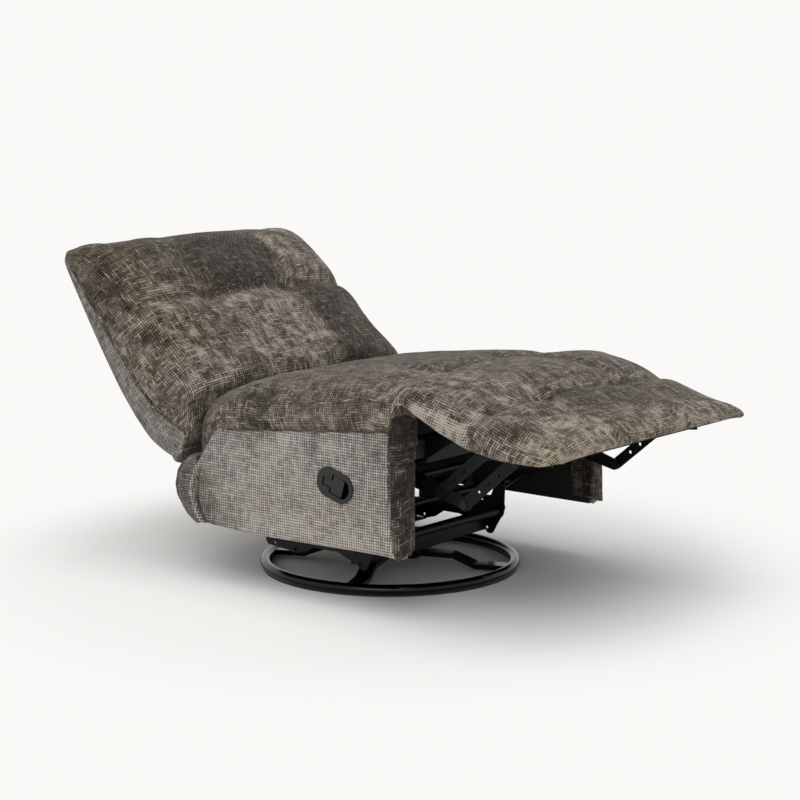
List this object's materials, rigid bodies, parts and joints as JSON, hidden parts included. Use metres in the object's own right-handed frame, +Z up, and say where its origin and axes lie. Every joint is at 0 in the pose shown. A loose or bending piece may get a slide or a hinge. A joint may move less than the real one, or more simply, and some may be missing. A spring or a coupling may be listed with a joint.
{
  "type": "recliner chair",
  "caption": "Swivel recliner chair on a floor ring, fully reclined with its footrest out, with quilted pads, boxed side panels and a side release handle.",
  "frame": {"origin": "centre of the floor ring, on the floor", "axes": "+Z up, the chair faces -Y, and the release handle is on the -X side, the sitter's right"},
  "size_m": [0.803, 1.4741, 0.754],
  "materials": {
    "black_enamel": "gloss black enamel",
    "mechanism_paint": "satin black",
    "zinc": "zinc plated",
    "bearing_steel": "polished",
    "bush_plastic": "natural nylon",
    "strip_rubber": "matte black",
    "handle_plastic": "satin black",
    "cable_sheath": "black",
    "pine": "raw",
    "dark_board": "black stained",
    "dust_cloth": "black nonwoven",
    "webbing": "woven elastic",
    "pad_fabric": "brown grey chenille weave",
    "side_fabric": "light grey chenille weave"
  },
  "bodies": {
    "base": {"base_ring": "black_enamel", "floor_strip": "strip_rubber", "base_arm_1": "black_enamel", "base_arm_2": "black_enamel", "base_arm_3": "black_enamel", "base_arm_4": "black_enamel", "hub_plate": "black_enamel", "hub_bolts": "zinc", "bearing_lower_race": "bearing_steel", "bearing_balls": "bearing_steel", "king_bolt": "zinc", "king_nut": "zinc"},
    "seat": {"bearing_upper_race": "bearing_steel", "swivel_bush": "bush_plastic", "swivel_top_plate": "mechanism_paint", "top_plate_bolts": "zinc", "front_cross_member": "mechanism_paint", "rear_cross_member": "mechanism_paint", "cross_tube": "mechanism_paint", "stretcher_rods": "mechanism_paint", "mechanism_plate_right": "mechanism_paint", "mechanism_plate_left": "mechanism_paint", "end_bracket_right": "mechanism_paint", "end_bracket_left": "mechanism_paint", "main_pivots": "zinc", "seat_rails": "dark_board", "seat_springs": "zinc", "dust_cover": "dust_cloth", "seat_cushion": "pad_fabric", "panel_blocks": "dark_board", "side_board_right": "dark_board", "side_board_left": "dark_board", "side_upholstery_right": "side_fabric", "side_upholstery_left": "side_fabric", "rear_board": "dark_board", "rear_skirt": "side_fabric", "handle_bezel": "handle_plastic", "paddle_pin": "zinc", "release_cable": "cable_sheath"},
    "footrest": {"footrest_bracket_right": "mechanism_paint", "footrest_bracket_left": "mechanism_paint", "bracket_pins": "zinc", "footrest_board": "dark_board", "footrest_cushion": "pad_fabric"},
    "drive_right": {"drive_link_right": "mechanism_paint", "link_pins_right": "zinc"},
    "drive_left": {"drive_link_left": "mechanism_paint", "link_pins_left": "zinc"},
    "support_right": {"support_link_right": "mechanism_paint"},
    "support_left": {"support_link_left": "mechanism_paint"},
    "guide_right": {"guide_link_right": "mechanism_paint"},
    "guide_left": {"guide_link_left": "mechanism_paint"},
    "lever": {"release_paddle": "handle_plastic"},
    "latch": {"latch_pawl": "zinc"},
    "back": {"back_posts": "pine", "back_rails": "pine", "back_webbing": "webbing", "back_brackets": "mechanism_paint", "back_cushion": "pad_fabric", "back_cover": "side_fabric"}
  },
  "joints": [
    {"name": "swivel", "type": "hinge", "parent": "base", "child": "seat", "pos_m": [0, 0, 0.051], "axis": [0, 0, 1], "continuous": true},
    {"name": "footrest_fold", "type": "hinge", "parent": "seat", "child": "footrest", "pos_m": [0, -0.41, 0.41], "axis": [1, 0, 0], "range_deg": [0, 88]},
    {"name": "back_recline", "type": "hinge", "parent": "seat", "child": "back", "pos_m": [0, 0.3, 0.395], "axis": [1, 0, 0], "range_deg": [0, 30]},
    {"name": "drive_right_pivot", "type": "hinge", "parent": "seat", "child": "drive_right", "pos_m": [-0.286, -0.28, 0.3], "axis": [1, 0, 0], "range_deg": [0, 88]},
    {"name": "drive_left_pivot", "type": "hinge", "parent": "seat", "child": "drive_left", "pos_m": [0.286, -0.28, 0.3], "axis": [1, 0, 0], "range_deg": [0, 88]},
    {"name": "support_right_pivot", "type": "hinge", "parent": "drive_right", "child": "support_right", "pos_m": [-0.294, -0.44494, 0.25488], "axis": [1, 0, 0], "range_deg": [-88, 0]},
    {"name": "support_left_pivot", "type": "hinge", "parent": "drive_left", "child": "support_left", "pos_m": [0.294, -0.44494, 0.25488], "axis": [1, 0, 0], "range_deg": [-88, 0]},
    {"name": "guide_right_pivot", "type": "hinge", "parent": "drive_right", "child": "guide_right", "pos_m": [-0.294, -0.37896, 0.27293], "axis": [1, 0, 0], "range_deg": [-88, 0]},
    {"name": "guide_left_pivot", "type": "hinge", "parent": "drive_left", "child": "guide_left", "pos_m": [0.294, -0.37896, 0.27293], "axis": [1, 0, 0], "range_deg": [-88, 0]},
    {"name": "release_lever", "type": "hinge", "parent": "seat", "child": "lever", "pos_m": [-0.3945, -0.14926, 0.28636], "axis": [0, 0.2924, -0.9563], "range_deg": [0, 25], "stiffness_Nm_per_rad": 0.3},
    {"name": "latch_release", "type": "hinge", "parent": "seat", "child": "latch", "pos_m": [-0.286, -0.22, 0.324], "axis": [1, 0, 0], "range_deg": [-12.5, 0]}
  ],
  "couplings": [
    {"joint": "drive_right_pivot", "follows": "footrest_fold", "ratio": 1},
    {"joint": "drive_left_pivot", "follows": "footrest_fold", "ratio": 1},
    {"joint": "support_right_pivot", "follows": "footrest_fold", "ratio": -1},
    {"joint": "support_left_pivot", "follows": "footrest_fold", "ratio": -1},
    {"joint": "guide_right_pivot", "follows": "footrest_fold", "ratio": -1},
    {"joint": "guide_left_pivot", "follows": "footrest_fold", "ratio": -1},
    {"joint": "latch_release", "follows": "release_lever", "ratio": -0.5}
  ]
}
